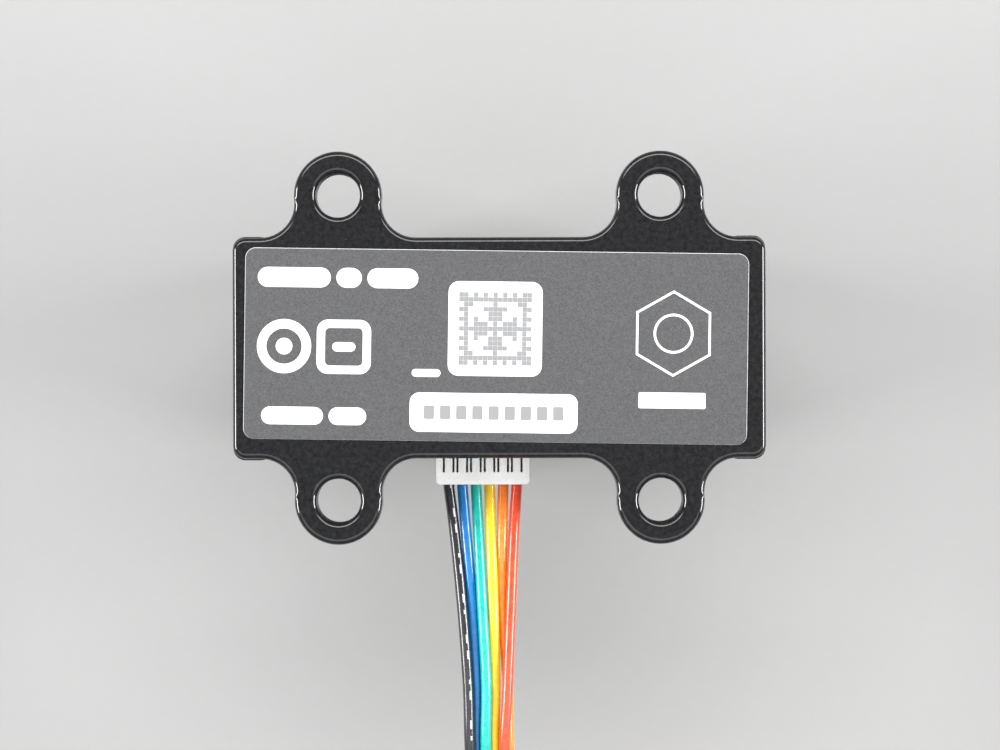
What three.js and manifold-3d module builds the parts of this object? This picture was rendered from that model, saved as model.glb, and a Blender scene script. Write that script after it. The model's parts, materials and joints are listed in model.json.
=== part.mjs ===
// A two-lens optical range-finder module: a black moulded housing with an emitter barrel and a receiver
// barrel, a rear cover with four mounting ears, the optics, the circuit board, and a six-wire harness.
// Millimetres, +Z up. The module stands on its two lens rims at z = 0, with its labelled rear cover on top.
// The origin is the middle of that footprint, and the wires leave the lower long side, towards -Y.
import * as THREE from "three";
import { mergeVertices } from "three/addons/utils/BufferGeometryUtils.js";
import Module from "manifold-3d";

const wasm = await Module();
wasm.setup();

// ---- Driving dimensions ----
const BODY_LONG = 48.2; // rear cover, along X
const BODY_TALL = 20; // rear cover, along Y
const DEPTH = 40; // lens rims to rear face
const CORNER_R = 1.2;
const COVER_THICK = 2.6;
const WALL = 1.5;

// Mounting ears
const EAR_X = 14.57;
const EAR_Y = 13.82;
const EAR_R = 3.97;
const EAR_HOLE_R = 2.0;
const EAR_FILLET_R = 3.1;

// Barrels and optics
const BARREL_X = 14;
const BARREL_R = 9.9;
const BOX_FRONT = 24; // where the barrels meet the box
const FLOOR_THICK = 2;
const LENS_BORE_R = 8.2;
const LENS_SHOULDER = 6.45;
const LENS_R = 8.05;
const LENS_CURVE_R = 13; // focal length about 22
const LENS_FRONT = 2.4;
const LENS_BACK = 6.4;
const CHAMBER_R = 7.2;
const WINDOW_R = 5.5; // opening from a barrel into the box

// Circuit board
const BOARD_LONG = 35.8;
const BOARD_TALL = 16.2;
const BOARD_TONGUE_LONG = 41; // the board reaches out between the cover's screws
const BOARD_TONGUE_TALL = 8;
const BOARD_THICK = 1.6;
const BOARD_REAR = 30; // the face that carries the wire header

// Screws
const COVER_SCREW_X = 20.2;
const COVER_SCREW_Y = 6.3;
const COVER_SCREW_LONG = 6.6;
const COVER_SCREW_HOLE_END = 31;
const BOARD_SCREW_LONG = 3.9;
const BOARD_SCREW_HOLE_END = 25.4;
const SCREW_R = 0.9;
const SCREW_HOLE_R = 1.0;
const SCREW_CLEARANCE = 0.1; // a hole that a screw passes through, over one that it cuts its thread in

// Wire header and plug, six ways
const WAYS = 6;
const PITCH = 1.25;
const PLUG_X = -1.56;
const PLUG_REAR = -12.52;
const PLUG_TIP = -5.3;
const PLUG_WIDE = 8.75;
const PLUG_LOW = 31.3;
const PLUG_HIGH = 34.5;
const CONTACT_Z = 32.75;
const CAVITY_WIDE = 1.02; // one contact's cavity in the plug
const CAVITY_HIGH = 1.5;
const SLIT_OFF = 0.44; // a slit's middle, from the middle of its way
const SLIT_WIDE = 0.2;
const SLIT_START = 1.14; // from the plug's rear face
const LEVER_WIDE = 4.4; // the latch lever below the plug
const LEVER_LOW = 30.45;
const LEVER_HIGH = 30.95;
const HEADER_MOUTH = -8.25;
const HEADER_BACK = -4;
const HEADER_SIDE_WALL = 0.75;
const HEADER_BACK_WALL = 0.8;
const HEADER_SKIN = 0.35; // its floor and roof
const HEADER_TOP = 34.95;
const HEADER_FIT = 0.15; // each side of the plug

// Wires
const WIRE_D = 1.0;
const COIL = { x: -4, y: -72, inner: 9.4, outer: 18.7, high: 2 };

// ---- Derived places ----
const HALF_LONG = BODY_LONG / 2;
const HALF_TALL = BODY_TALL / 2;
const COVER_FRONT = DEPTH - COVER_THICK;
const FLOOR_REAR = BOX_FRONT + FLOOR_THICK;
const BOARD_FRONT = BOARD_REAR - BOARD_THICK;
const wayX = (way) => PLUG_X + (way - (WAYS - 1) / 2) * PITCH;
const SIDES = [-1, 1];
const CORNERS = [
  [-1, -1],
  [1, -1],
  [1, 1],
  [-1, 1],
];

// ---- Solids ----

/** A closed geometry as a solid that can be cut and joined. */
function solid(geometry) {
  const bare = geometry.index ? geometry.toNonIndexed() : geometry.clone();
  bare.deleteAttribute("normal");
  bare.deleteAttribute("uv");
  const merged = mergeVertices(bare, 1e-4);
  const vertProperties = merged.attributes.position.array;
  const triVerts = new Uint32Array(merged.index.array);
  return new wasm.Manifold(new wasm.Mesh({ numProp: 3, vertProperties, triVerts }));
}

/** A solid's surface as a geometry. */
function geometryOf(made) {
  const mesh = made.getMesh();
  const geometry = new THREE.BufferGeometry();
  geometry.setAttribute("position", new THREE.BufferAttribute(mesh.vertProperties, 3));
  geometry.setIndex(new THREE.BufferAttribute(mesh.triVerts, 1));
  return geometry;
}

const joined = (first, ...rest) => rest.reduce((whole, piece) => whole.add(piece), first);
const cut = (first, ...rest) => rest.reduce((whole, piece) => whole.subtract(piece), first);

function box(x0, x1, y0, y1, z0, z1) {
  const geometry = new THREE.BoxGeometry(x1 - x0, y1 - y0, z1 - z0);
  return solid(geometry.translate((x0 + x1) / 2, (y0 + y1) / 2, (z0 + z1) / 2));
}

/** A box centred on (x, y), standing on z0. */
function block(x, y, long, tall, z0, z1) {
  return box(x - long / 2, x + long / 2, y - tall / 2, y + tall / 2, z0, z1);
}

/** An upright round bar. */
function rod(x, y, radius, z0, z1, segments = 24) {
  const geometry = new THREE.CylinderGeometry(radius, radius, z1 - z0, segments);
  return solid(geometry.rotateX(Math.PI / 2).translate(x, y, (z0 + z1) / 2));
}

/** An upright turned piece, from [radius, z] points in order round its section. */
function turned(x, y, profile, segments = 48) {
  const points = profile.map(([radius, z]) => new THREE.Vector2(radius, z));
  const geometry = new THREE.LatheGeometry(points, segments);
  return solid(geometry.rotateX(Math.PI / 2).translate(x, y, 0));
}

/** An upright prism. */
function prism(shape, z0, z1, curveSegments = 6) {
  const options = { depth: z1 - z0, bevelEnabled: false, curveSegments };
  return solid(new THREE.ExtrudeGeometry(shape, options).translate(0, 0, z0));
}

/** A rectangle with round corners, centred on the origin. */
function roundedRectangle(long, tall, radius) {
  const shape = new THREE.Shape();
  CORNERS.forEach(([sideX, sideY], quarter) => {
    const start = Math.PI + (quarter * Math.PI) / 2;
    const x = sideX * (long / 2 - radius);
    const y = sideY * (tall / 2 - radius);
    shape.absarc(x, y, radius, start, start + Math.PI / 2, false);
  });
  return shape;
}

/** The rear cover's outline: a rounded rectangle with two ears on each long side, blended in by fillets. */
function coverOutline() {
  const shape = new THREE.Shape();
  const rise = EAR_Y - HALF_TALL - EAR_FILLET_R;
  const reach = Math.sqrt((EAR_R + EAR_FILLET_R) ** 2 - rise ** 2);
  const lean = Math.asin(rise / (EAR_R + EAR_FILLET_R));
  const filletY = HALF_TALL + EAR_FILLET_R;
  for (const turn of [0, Math.PI]) {
    const flip = Math.cos(turn);
    const arc = (x, y, radius, from, to, clockwise) =>
      shape.absarc(flip * x, flip * y, radius, turn + from, turn + to, clockwise);
    const cornerX = HALF_LONG - CORNER_R;
    const cornerY = HALF_TALL - CORNER_R;
    arc(cornerX, cornerY, CORNER_R, 0, Math.PI / 2, false);
    for (const earX of [EAR_X, -EAR_X]) {
      arc(earX + reach, filletY, EAR_FILLET_R, -Math.PI / 2, Math.PI - lean - 2 * Math.PI, true);
      arc(earX, EAR_Y, EAR_R, -lean, Math.PI + lean, false);
      arc(earX - reach, filletY, EAR_FILLET_R, lean, -Math.PI / 2, true);
    }
    arc(-cornerX, cornerY, CORNER_R, Math.PI / 2, Math.PI, false);
  }
  return shape;
}

// ---- Housing ----

const BOSS_R = 1.9;
const BOARD_SCREWS = [
  [0, 6.2],
  [6.4, -6.5],
];
const BOARD_BOSS_R = 1.7;

/** One barrel's bore, open at both ends: lens seat, shoulder, and a chamber that narrows to the board. */
function barrelBore(side) {
  return turned(side * BARREL_X, 0, [
    [0, -1],
    [LENS_BORE_R, -1],
    [LENS_BORE_R, LENS_SHOULDER],
    [CHAMBER_R, LENS_SHOULDER],
    [CHAMBER_R, LENS_SHOULDER + 3],
    [WINDOW_R, BOX_FRONT - 2],
    [WINDOW_R, FLOOR_REAR + 1],
    [0, FLOOR_REAR + 1],
  ]);
}

/** One corner of the housing, which stands a little proud of the cover. */
function cornerPost(sideX, sideY) {
  const proud = 0.2;
  const radius = 1.1;
  const right = HALF_LONG + proud;
  const top = HALF_TALL + proud;
  const slope = 0.6; // the ends run back into the walls at 45 degrees
  const shape = new THREE.Shape();
  shape.moveTo(right - 2.8, top - slope);
  shape.lineTo(right - slope, top - 1.9);
  shape.lineTo(right, top - 1.9 + slope);
  shape.absarc(right - radius, top - radius, radius, 0, Math.PI / 2, false);
  shape.lineTo(right - 2.8 + slope, top);
  const points = shape.getPoints(4).map(({ x, y }) => new THREE.Vector2(sideX * x, sideY * y));
  return new THREE.Shape(sideX === sideY ? points : points.reverse());
}

function frontHousing() {
  const outline = roundedRectangle(BODY_LONG, BODY_TALL, CORNER_R);
  const inside = roundedRectangle(BODY_LONG - 2 * WALL, BODY_TALL - 2 * WALL, 0.8);
  const rim = 0.4; // chamfer round the open end of each barrel
  const barrels = SIDES.map((side) =>
    turned(side * BARREL_X, 0, [
      [0, 0],
      [BARREL_R - rim, 0],
      [BARREL_R, rim],
      [BARREL_R, BOX_FRONT + 1],
      [0, BOX_FRONT + 1],
    ]),
  );
  const web = box(-BARREL_X, BARREL_X, -0.9, 0.9, BOX_FRONT - 6, BOX_FRONT + 1);
  const posts = CORNERS.map(([sideX, sideY]) =>
    prism(cornerPost(sideX, sideY), BOX_FRONT + 0.4, COVER_FRONT, 4),
  );
  const shell = cut(prism(outline, BOX_FRONT, COVER_FRONT), prism(inside, FLOOR_REAR, COVER_FRONT + 1));
  const bosses = CORNERS.map(([sideX, sideY]) =>
    rod(sideX * COVER_SCREW_X, sideY * COVER_SCREW_Y, BOSS_R, FLOOR_REAR - 1, COVER_FRONT),
  );
  const boardBosses = BOARD_SCREWS.map(([x, y]) => rod(x, y, BOARD_BOSS_R, FLOOR_REAR - 1, BOARD_FRONT));
  const screwHoles = [
    ...CORNERS.map(([sideX, sideY]) => {
      const [x, y] = [sideX * COVER_SCREW_X, sideY * COVER_SCREW_Y];
      return rod(x, y, SCREW_HOLE_R, COVER_SCREW_HOLE_END, COVER_FRONT + 1, 12);
    }),
    ...BOARD_SCREWS.map(([x, y]) => rod(x, y, SCREW_HOLE_R, BOARD_SCREW_HOLE_END, BOARD_FRONT + 1, 12)),
  ];
  const gap = 0.3;
  const leverRoom = 0.25;
  const plugWindow = box(
    PLUG_X - PLUG_WIDE / 2 - gap,
    PLUG_X + PLUG_WIDE / 2 + gap,
    -HALF_TALL - 1,
    -HALF_TALL + WALL + 0.2,
    LEVER_LOW - leverRoom,
    PLUG_HIGH + gap,
  );
  const whole = joined(shell, web, ...barrels, ...posts, ...bosses, ...boardBosses);
  return cut(whole, barrelBore(-1), barrelBore(1), plugWindow, ...screwHoles);
}

const SCREW_HEAD_R = 1.65;
const HEAD_HIGH = 1.0;
const COVER_HEAD_SEAT = DEPTH - 1.2;
const HEAD_POCKET_GAP = 0.15;

function rearCover() {
  const plate = prism(coverOutline(), COVER_FRONT, DEPTH);
  const rib = { y: 7.6, long: 34, thick: 1, deep: 1.1 }; // two ribs that fit inside the housing's walls
  const ribs = SIDES.map((side) =>
    block(0, side * rib.y, rib.long, rib.thick, COVER_FRONT - rib.deep, COVER_FRONT + 0.5),
  );
  const bevel = 0.35; // chamfer where a mounting screw enters an ear
  const earHoles = CORNERS.map(([sideX, sideY]) =>
    turned(
      sideX * EAR_X,
      sideY * EAR_Y,
      [
        [0, COVER_FRONT - 1],
        [EAR_HOLE_R, COVER_FRONT - 1],
        [EAR_HOLE_R, DEPTH - bevel],
        [EAR_HOLE_R + bevel, DEPTH],
        [EAR_HOLE_R + bevel, DEPTH + 1],
        [0, DEPTH + 1],
      ],
      24,
    ),
  );
  const screwHoles = CORNERS.flatMap(([sideX, sideY]) => {
    const x = sideX * COVER_SCREW_X;
    const y = sideY * COVER_SCREW_Y;
    return [
      rod(x, y, SCREW_HOLE_R + SCREW_CLEARANCE, COVER_FRONT - 1, DEPTH, 16),
      rod(x, y, SCREW_HEAD_R + HEAD_POCKET_GAP, COVER_HEAD_SEAT, DEPTH + 1, 16),
    ];
  });
  return cut(joined(plate, ...ribs), ...earHoles, ...screwHoles);
}

const LABEL = { x: -0.29, y: 0.135, long: 45.5, tall: 17.28, radius: 0.95, thick: 0.12, turn: -0.0159 };

function label() {
  return prism(roundedRectangle(LABEL.long, LABEL.tall, LABEL.radius), 0, LABEL.thick, 4);
}

/** A cross-head screw, head up, with its seat at z = 0. */
function screw(length) {
  const body = turned(
    0,
    0,
    [
      [0, -length],
      [SCREW_R * 0.5, -length],
      [SCREW_R, -length + 0.6],
      [SCREW_R, 0],
      [SCREW_HEAD_R, 0],
      [SCREW_HEAD_R, HEAD_HIGH * 0.6],
      [SCREW_HEAD_R * 0.7, HEAD_HIGH],
      [0, HEAD_HIGH],
    ],
    16,
  );
  const arm = 0.9;
  const slot = 0.16;
  const recess = joined(
    box(-arm, arm, -slot, slot, HEAD_HIGH - 0.5, HEAD_HIGH + 1),
    box(-slot, slot, -arm, arm, HEAD_HIGH - 0.5, HEAD_HIGH + 1),
  );
  return cut(body, recess);
}

// ---- Optics ----

/** A plano-convex lens, curved side to the front. */
function lens() {
  const steps = 7;
  const edge = Math.asin(LENS_R / LENS_CURVE_R);
  const dome = Array.from({ length: steps + 1 }, (_, i) => {
    const angle = (edge * i) / steps;
    const depth = LENS_CURVE_R * (1 - Math.cos(angle));
    return [i ? LENS_CURVE_R * Math.sin(angle) : 0, LENS_FRONT + depth];
  });
  return turned(0, 0, [...dome, [LENS_R, LENS_BACK], [0, LENS_BACK]], 32);
}

/** The threaded ring that holds a lens in its barrel, with two spanner notches. */
function lensRing() {
  const outer = LENS_BORE_R - 0.08;
  const front = 1.2;
  const back = 4.3;
  const ring = turned(0, 0, [
    [CHAMBER_R - 0.4, front + 0.3],
    [CHAMBER_R - 0.1, front],
    [outer, front],
    [outer, back],
    [CHAMBER_R, back],
    [CHAMBER_R - 0.4, back - 0.6],
    [CHAMBER_R - 0.4, front + 0.3],
  ]);
  return cut(ring, box(-9, 9, -0.6, 0.6, 0, front + 0.7));
}

const SEAL_HOLE_R = 4.9;

/** A sheet of the board's outline, or of one a little inside it. */
function boardSheet(inset, z0, z1) {
  return joined(
    block(0, 0, BOARD_LONG - 2 * inset, BOARD_TALL - 2 * inset, z0, z1),
    block(0, 0, BOARD_TONGUE_LONG - 2 * inset, BOARD_TONGUE_TALL - 2 * inset, z0, z1),
  );
}

/** The foam that closes both optical chambers against the board, with a channel for the light guide. */
function lightSeal() {
  const sheet = boardSheet(0.2, FLOOR_REAR, BOARD_FRONT);
  const low = FLOOR_REAR - 1;
  const high = BOARD_FRONT + 1;
  const rings = SIDES.map((side) => rod(side * BARREL_X, 0, SEAL_HOLE_R, low, high, 32));
  const bosses = BOARD_SCREWS.map(([x, y]) => rod(x, y, BOARD_BOSS_R + 0.2, low, high));
  const channel = box(-BARREL_X, BARREL_X, -0.8, 0.8, FLOOR_REAR - 1, FLOOR_REAR + 1.5);
  return cut(sheet, ...rings, ...bosses, channel);
}

/** The clear bar that carries a little of the pulse straight from the emitter to the receiver. */
function lightGuide() {
  return box(-9.4, 9.4, -0.6, 0.6, FLOOR_REAR + 0.1, FLOOR_REAR + 1.3);
}

/** The pulsed infrared laser in a round can, its window to the front. */
function laserDiode() {
  const can = turned(
    0,
    0,
    [
      [0, 26.3],
      [2.2, 26.3],
      [2.35, 26.5],
      [2.35, 27.7],
      [2.8, 27.7],
      [2.8, BOARD_FRONT],
      [0, BOARD_FRONT],
    ],
    20,
  );
  return cut(can, rod(0, 0, 0.9, 25, 26.7));
}

const SHIELD = { side: 6.6, front: 26.3, sheet: 0.25 };

/** The tinned can over the receiver, open towards the board, with a hole on the optical axis. */
function detectorShield() {
  const inner = SHIELD.side - 2 * SHIELD.sheet;
  return cut(
    block(0, 0, SHIELD.side, SHIELD.side, SHIELD.front, BOARD_FRONT),
    block(0, 0, inner, inner, SHIELD.front + SHIELD.sheet, BOARD_FRONT + 1),
    rod(0, 0, 1.5, SHIELD.front - 1, SHIELD.front + 1),
  );
}

// ---- Board ----

function mainBoard() {
  const sheet = boardSheet(0, BOARD_FRONT, BOARD_REAR);
  const holes = BOARD_SCREWS.map(([x, y]) =>
    rod(x, y, SCREW_HOLE_R + SCREW_CLEARANCE, BOARD_FRONT - 1, BOARD_REAR + 1, 16),
  );
  return cut(sheet, ...holes);
}

/** The six-way side-entry header: a shell with its mouth towards -Y. */
function boardHeader() {
  const mouthHalf = PLUG_WIDE / 2 + HEADER_FIT;
  const shellHalf = mouthHalf + HEADER_SIDE_WALL;
  const back = HEADER_BACK + HEADER_BACK_WALL;
  const floor = BOARD_REAR + HEADER_SKIN;
  const roof = HEADER_TOP - HEADER_SKIN;
  const shell = box(PLUG_X - shellHalf, PLUG_X + shellHalf, HEADER_MOUTH, back, BOARD_REAR, HEADER_TOP);
  const mouth = box(PLUG_X - mouthHalf, PLUG_X + mouthHalf, HEADER_MOUTH - 1, HEADER_BACK, floor, roof);
  const hole = 0.25; // half the side of a pin's square hole
  const pinHoles = Array.from({ length: WAYS }, (_, way) =>
    box(wayX(way) - hole, wayX(way) + hole, HEADER_BACK - 1, 0, CONTACT_Z - hole, CONTACT_Z + hole),
  );
  return cut(shell, mouth, ...pinHoles);
}

/** One header pin: a blade in the mouth, a leg behind the shell, and a foot soldered to the board. */
function headerPin() {
  const half = 0.2; // half the side of the pin's square section
  const back = HEADER_BACK + HEADER_BACK_WALL;
  const shape = new THREE.Shape(
    [
      [HEADER_MOUTH + 0.5, CONTACT_Z - half],
      [back + 0.4, CONTACT_Z - half],
      [back + 0.4, BOARD_REAR],
      [back + 1.7, BOARD_REAR],
      [back + 1.7, BOARD_REAR + 0.3],
      [back + 0.8, BOARD_REAR + 0.3],
      [back + 0.8, CONTACT_Z + half],
      [HEADER_MOUTH + 0.5, CONTACT_Z + half],
    ].map(([y, z]) => new THREE.Vector2(y, z)),
  );
  const geometry = new THREE.ExtrudeGeometry(shape, { depth: 2 * half, bevelEnabled: false });
  // The shape's x and y become the pin's Y and Z.
  const stand = new THREE.Matrix4().makeBasis(
    new THREE.Vector3(0, 1, 0),
    new THREE.Vector3(0, 0, 1),
    new THREE.Vector3(1, 0, 0),
  );
  return solid(geometry.applyMatrix4(stand).translate(-half, 0, 0));
}

// ---- Harness ----

/** The plug's body, with a cavity for each contact, slit tongues over them, and a latch lever below. */
function plugHousing() {
  const half = PLUG_WIDE / 2;
  const lever = { left: PLUG_X - LEVER_WIDE / 2, right: PLUG_X + LEVER_WIDE / 2, front: PLUG_TIP - 0.8 };
  const body = box(PLUG_X - half, PLUG_X + half, PLUG_REAR, PLUG_TIP, PLUG_LOW, PLUG_HIGH);
  const arm = box(lever.left, lever.right, PLUG_REAR + 0.6, lever.front, LEVER_LOW, LEVER_HIGH);
  const root = box(lever.left, lever.right, lever.front - 0.8, lever.front, LEVER_LOW, PLUG_LOW + 0.3);
  const catches = SIDES.map((side) =>
    block(PLUG_X + side * 1.7, PLUG_REAR + 4.2, 0.8, 0.8, LEVER_LOW - 0.05, LEVER_LOW + 0.15),
  );
  const ways = Array.from({ length: WAYS }, (_, way) => wayX(way));
  const middle = (PLUG_REAR + PLUG_TIP) / 2;
  const low = CONTACT_Z - CAVITY_HIGH / 2;
  const cavities = ways.map((x) => block(x, middle, CAVITY_WIDE, 12, low, low + CAVITY_HIGH));
  const slits = ways.flatMap((way) =>
    SIDES.map((side) => {
      const x = way + side * SLIT_OFF;
      const [left, right] = [x - SLIT_WIDE / 2, x + SLIT_WIDE / 2];
      return box(left, right, PLUG_REAR + SLIT_START, PLUG_TIP + 1, CONTACT_Z, PLUG_HIGH + 1);
    }),
  );
  return cut(joined(body, arm, root, ...catches), ...cavities, ...slits);
}

/** One crimped contact: a socket for the header pin, open to the front, on a solid barrel. */
function plugContact() {
  const front = PLUG_TIP - 0.4;
  const long = 3.4;
  const bore = 0.27; // half the side of the square bore
  const socket = block(0, front - long / 2, 0.86, long, CONTACT_Z - 0.45, CONTACT_Z + 0.45);
  const barrel = box(-0.38, 0.38, PLUG_REAR + 0.5, front - 3, CONTACT_Z - 0.4, CONTACT_Z + 0.35);
  const hole = box(-bore, bore, front - 2.9, front + 1, CONTACT_Z - bore, CONTACT_Z + bore);
  return cut(joined(socket, barrel), hole);
}

// The bundle's middle line from the plug down to the coil, [x, y, z].
const BUNDLE = [
  [-1.56, -12.82, 32.75],
  [-1.52, -16.5, 32.75],
  [-1.24, -23.7, 32.6],
  [-1.07, -31.1, 32.1],
  [-0.76, -38.5, 31.2],
  [0.72, -46, 27.4],
  [4.3, -52, 16.2],
  [8.3, -57.2, 4.5],
  [11.2, -63.5, 1.4],
  [12.5, -68.5, 0.98],
  [12.8, -72, 0.98],
];
// How many of those places the straight stretch has: the rest lie in the coil's own solid.
const FREE_PLACES = 8;
// Each wire's place in the bundle, [across, up], at the bundle's first places. The last one lasts to the end.
const WIRES = {
  black: [[-3.125, 0], [-2.69, 0], [-2.25, 0.15], [-1.9, 0.35], [-1.93, 0.2], [-1.75, -0.15], [-1.29, -0.45]],
  blue: [[-1.875, 0], [-1.63, 0], [-1.31, -0.2], [-1.1, -0.3], [-1.24, -0.6], [-0.7, -0.55], [-0.26, -0.45]],
  green: [[-0.625, 0], [-0.48, 0], [-0.4, 0.25], [-0.22, 0.3], [-0.53, 0.2], [-0.66, 0.5], [-0.77, 0.45]],
  yellow: [[0.625, 0], [0.66, 0], [0.61, 0.1], [0.59, -0.35], [0.29, -0.45], [0.4, 0.1], [0.26, 0.45]],
  orange: [[1.875, 0], [1.74, 0], [1.42, -0.5], [1.75, -0.85], [1.62, -0.75], [1.2, -0.68], [0.77, -0.45]],
  red: [[3.125, 0], [2.84, 0.1], [2.24, 0.15], [1.75, 0.3], [1.19, 0.25], [1.45, 0.35], [1.29, 0.45]],
};

/** A wire's free stretch: an eight-sided tube along its own line through the bundle's places. */
function wireTube(places) {
  const line = new THREE.CatmullRomCurve3(BUNDLE.map((place) => new THREE.Vector3(...place)));
  const up = new THREE.Vector3(0, 0, 1);
  const points = BUNDLE.slice(0, FREE_PLACES).map((place, i) => {
    const along = line.getTangent(i / (BUNDLE.length - 1));
    const across = new THREE.Vector3().crossVectors(up, along).normalize();
    const above = new THREE.Vector3().crossVectors(along, across);
    const [right, high] = places[Math.min(i, places.length - 1)];
    return new THREE.Vector3(...place).addScaledVector(across, right).addScaledVector(above, high);
  });
  const section = new THREE.Shape();
  section.absarc(0, 0, WIRE_D / 2, 0, 2 * Math.PI, false);
  const extrudePath = new THREE.CatmullRomCurve3(points);
  return solid(new THREE.ExtrudeGeometry(section, { steps: 26, curveSegments: 4, extrudePath }));
}

/** The outer shape of the coil that the rest of the bundle is wound into. */
function wireCoil() {
  const { inner, outer, high } = COIL;
  return turned(COIL.x, COIL.y, [
    [inner, 0],
    [outer, 0],
    [outer, high],
    [inner, high],
    [inner, 0],
  ]);
}

// ---- Materials ----

const material = (color, roughness, metalness = 0) =>
  new THREE.MeshStandardMaterial({ color, roughness, metalness });
const glossBlack = material(0x0d0d0e, 0.22);
const mattBlack = material(0x111112, 0.75);
const labelGrey = material(0x707172, 0.6);
const steel = material(0xb9bbbd, 0.3, 1);
const tinned = material(0xc8c6be, 0.35, 1);
const glass = material(0xcfd8dc, 0.05);
const filterGlass = material(0x3a1018, 0.08);
const foam = material(0x1a1a1b, 0.95);
const boardGreen = material(0x14532f, 0.5);
const chipBlack = material(0x17181a, 0.55);
const nylonWhite = material(0xe9e8e2, 0.45);
const WIRE_COLOURS = {
  black: 0x16161a,
  blue: 0x0a6fd0,
  green: 0x14b8a0,
  yellow: 0xf2d21c,
  orange: 0xf47a1f,
  red: 0xe23b2a,
};

// ---- Assembly ----

const lidarModule = new THREE.Group();

/** Adds one named piece to the module. */
function place(name, made, look, x = 0, y = 0, z = 0) {
  const mesh = new THREE.Mesh(geometryOf(made), look);
  mesh.name = name;
  mesh.position.set(x, y, z);
  lidarModule.add(mesh);
  return mesh;
}

place("front_housing", frontHousing(), glossBlack);
place("rear_cover", rearCover(), glossBlack);
place("rear_label", label(), labelGrey, LABEL.x, LABEL.y, DEPTH).rotation.z = LABEL.turn;
CORNERS.forEach(([sideX, sideY], i) => {
  const [x, y] = [sideX * COVER_SCREW_X, sideY * COVER_SCREW_Y];
  place(`cover_screw_${i + 1}`, screw(COVER_SCREW_LONG), steel, x, y, COVER_HEAD_SEAT);
});

for (const [name, side] of [["emitter", 1], ["receiver", -1]]) {
  place(`${name}_lens`, lens(), glass, side * BARREL_X);
  place(`${name}_lens_ring`, lensRing(), mattBlack, side * BARREL_X);
}
place("light_seal", lightSeal(), foam);
place("reference_light_guide", lightGuide(), glass);
place("laser_diode", laserDiode(), tinned, BARREL_X);
place("detector_shield", detectorShield(), tinned, -BARREL_X);
place("detector_diode", block(0, 0, 2.8, 2.8, 27.4, BOARD_FRONT), chipBlack, -BARREL_X);
place("detector_amplifier", block(0, 2.2, 1.8, 1.2, 27.6, BOARD_FRONT), chipBlack, -BARREL_X);
place("receiver_filter", block(0, 0, 5, 5, 25.6, SHIELD.front), filterGlass, -BARREL_X);

place("main_board", mainBoard(), boardGreen);
BOARD_SCREWS.forEach(([x, y], i) => {
  place(`board_screw_${i + 1}`, screw(BOARD_SCREW_LONG), steel, x, y, BOARD_REAR);
});
// Parts on the board's rear face: name, x, y, length, height, thickness.
const REAR_PARTS = [
  ["processor", 11, 1.6, 9, 9, 1],
  ["clock_crystal", 3.8, 1.4, 3.2, 2.5, 0.8],
  ["laser_driver", 15.4, -5.2, 4, 3, 1],
  ["laser_capacitor", 11.4, -5.4, 3.2, 2.5, 1.6],
  ["power_regulator", -10, 2, 3.5, 3.5, 1.1],
  ["bulk_capacitor_1", -16, 5.2, 3.5, 2.8, 1.9],
  ["bulk_capacitor_2", -16, 1.6, 3.5, 2.8, 1.9],
];
for (const [name, x, y, long, tall, thick] of REAR_PARTS) {
  place(name, block(0, 0, long, tall, 0, thick), chipBlack, x, y, BOARD_REAR);
}
const inductor = joined(rod(0, 0, 2, 0, 2), block(0, 0, 4.2, 4.2, 0, 0.5));
place("power_inductor", inductor, mattBlack, -11.5, -4.6, BOARD_REAR);
place("board_header", boardHeader(), nylonWhite);

Object.entries(WIRES).forEach(([colour, places], way) => {
  const wire = material(WIRE_COLOURS[colour], 0.35);
  place(`header_pin_${way + 1}`, headerPin(), tinned, wayX(way));
  place(`plug_contact_${way + 1}`, plugContact(), tinned, wayX(way));
  place(`wire_${colour}`, wireTube(places), wire);
});
place("plug_housing", plugHousing(), nylonWhite);
place("wire_coil", wireCoil(), mattBlack);

export default lidarModule;
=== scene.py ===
"""The looks of the two-lens optical range-finder module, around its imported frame.

Shapes are worked out in the frame's own millimetres, and every mesh is made in metres.
The module stands on its lens rims at z = 0. Its labelled rear cover is on top, at z = 40.
"""

import json
import math
import random

import bmesh
import bpy
from mathutils import Matrix, Vector
from mathutils.geometry import delaunay_2d_cdt


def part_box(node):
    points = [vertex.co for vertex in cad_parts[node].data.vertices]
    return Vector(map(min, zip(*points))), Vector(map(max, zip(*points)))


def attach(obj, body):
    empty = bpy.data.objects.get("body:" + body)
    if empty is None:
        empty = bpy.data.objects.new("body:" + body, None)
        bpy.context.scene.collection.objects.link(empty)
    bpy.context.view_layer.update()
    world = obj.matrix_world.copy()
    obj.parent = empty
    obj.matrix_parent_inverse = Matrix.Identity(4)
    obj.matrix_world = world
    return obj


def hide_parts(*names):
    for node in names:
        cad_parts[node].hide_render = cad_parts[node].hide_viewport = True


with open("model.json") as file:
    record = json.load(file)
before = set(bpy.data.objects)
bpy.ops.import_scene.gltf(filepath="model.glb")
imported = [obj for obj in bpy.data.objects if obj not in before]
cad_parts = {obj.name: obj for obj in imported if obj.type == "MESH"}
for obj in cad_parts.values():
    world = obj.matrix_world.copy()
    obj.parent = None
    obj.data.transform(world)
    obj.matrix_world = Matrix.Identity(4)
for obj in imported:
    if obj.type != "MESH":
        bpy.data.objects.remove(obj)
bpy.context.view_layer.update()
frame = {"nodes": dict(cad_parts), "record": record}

MM = 0.001
MODULE = "module"
HARNESS = "harness"
SIDES = (-1, 1)
CORNERS = ((-1, -1), (1, -1), (1, 1), (-1, 1))


# ---- Sizes taken from the frame, in millimetres ----


def node_box(name):
    """A CAD node's lowest and highest corner in millimetres."""
    low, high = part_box(name)
    return low / MM, high / MM


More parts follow.
